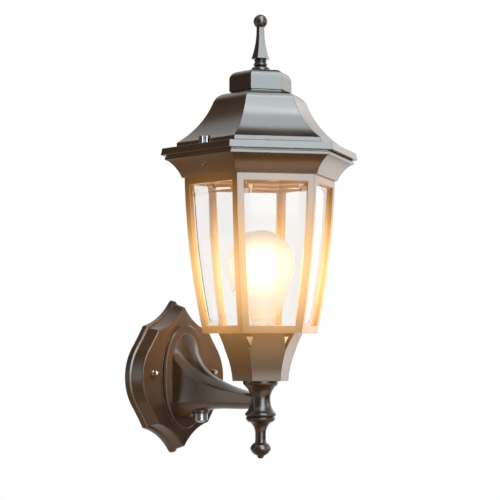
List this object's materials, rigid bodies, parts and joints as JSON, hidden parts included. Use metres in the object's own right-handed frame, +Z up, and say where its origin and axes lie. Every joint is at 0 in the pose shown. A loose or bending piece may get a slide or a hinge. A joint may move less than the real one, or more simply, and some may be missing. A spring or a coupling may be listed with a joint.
{
  "type": "outdoor wall lantern",
  "caption": "Wall lantern: six-sided glazed cage with a lift-off bell roof and finials, on a curved arm from a shield-shaped wall plate, with thumbscrews, screw-in bulb and dusk sensor.",
  "frame": {"origin": "on the wall plane, midway between the two wall-box screws", "axes": "+Y into the wall, +Z up, +X along the wall to the right as one faces it"},
  "size_m": [0.1542, 0.212, 0.3913],
  "materials": {
    "satin_black": "satin",
    "dark_nut": "satin",
    "zinc_steel": "satin",
    "dark_steel": "satin",
    "earth_green": "satin",
    "black_rubber": "matte",
    "nylon": "matte",
    "brass": "satin",
    "clear_glass": "gloss",
    "bulb_glass": "gloss",
    "glowing_strip": "matte",
    "bulb_metal": "satin",
    "porcelain": "gloss",
    "silver_plastic": "satin",
    "sensor_lens": "gloss",
    "pale_plastic": "matte",
    "wire_skin": "matte"
  },
  "bodies": {
    "wall_body": {"arm": "satin_black", "arm_screws": "zinc_steel", "backplate": "satin_black", "box_strap": "zinc_steel", "cage": "satin_black", "calyx": "satin_black", "calyx_screws": "zinc_steel", "cap_nuts": "dark_nut", "centre_contact": "brass", "crown": "satin_black", "crown_inserts": "brass", "crown_screws": "zinc_steel", "ground_screw": "earth_green", "hub": "satin_black", "lamp_holder": "porcelain", "lamp_leads": "wire_skin", "lamp_pipe": "zinc_steel", "lower_finial": "satin_black", "lower_finial_stud": "zinc_steel", "mounting_studs": "zinc_steel", "pane_back_left": "clear_glass", "pane_back_right": "clear_glass", "pane_clips": "zinc_steel", "pane_front_left": "clear_glass", "pane_front_right": "clear_glass", "pane_left": "clear_glass", "pane_right": "clear_glass", "photocell_body": "silver_plastic", "photocell_leads": "wire_skin", "photocell_lens": "sensor_lens", "photocell_nut": "zinc_steel", "photocell_ring": "black_rubber", "pipe_nut": "zinc_steel", "pipe_washer": "zinc_steel", "roof_gasket": "black_rubber", "screw_shell": "brass", "strap_screw": "zinc_steel", "stud_lock_nuts": "zinc_steel", "stud_strap": "zinc_steel", "terminal_block": "pale_plastic", "wall_gasket": "black_rubber"},
    "lid": {"roof": "satin_black", "roof_cap": "satin_black", "top_finial": "satin_black", "finial_stud": "zinc_steel", "finial_washer": "zinc_steel", "finial_nut": "zinc_steel"},
    "bulb": {"bulb_globe": "bulb_glass", "bulb_cap": "bulb_metal", "bulb_tip": "bulb_metal", "bulb_filament": "glowing_strip"},
    "washer_left": {"thumb_washer_left": "nylon"},
    "thumb_left": {"thumbscrew_left": "dark_steel"},
    "washer_right": {"thumb_washer_right": "nylon"},
    "thumb_right": {"thumbscrew_right": "dark_steel"}
  },
  "joints": [
    {"name": "roof_lift", "type": "slide", "parent": "wall_body", "child": "lid", "axis": [0, 0, 1], "range_m": [0, 0.12]},
    {"name": "bulb_unscrew", "type": "slide", "parent": "wall_body", "child": "bulb", "axis": [0, 0, 1], "range_m": [0, 0.026]},
    {"name": "thumbscrew_left_rise", "type": "slide", "parent": "lid", "child": "washer_left", "axis": [0, 0, 1], "range_m": [0, 0.0112]},
    {"name": "thumbscrew_left_turn", "type": "hinge", "parent": "washer_left", "child": "thumb_left", "pos_m": [-0.066, -0.123, 0.197], "axis": [0, 0, 1], "range_deg": [0, 5761]},
    {"name": "thumbscrew_right_rise", "type": "slide", "parent": "lid", "child": "washer_right", "axis": [0, 0, 1], "range_m": [0, 0.0112]},
    {"name": "thumbscrew_right_turn", "type": "hinge", "parent": "washer_right", "child": "thumb_right", "pos_m": [0.066, -0.123, 0.197], "axis": [0, 0, 1], "range_deg": [0, 5761]}
  ],
  "couplings": [
    {"joint": "thumbscrew_left_turn", "follows": "thumbscrew_left_rise", "rad_per_m": 8976},
    {"joint": "thumbscrew_right_turn", "follows": "thumbscrew_right_rise", "rad_per_m": 8976}
  ]
}
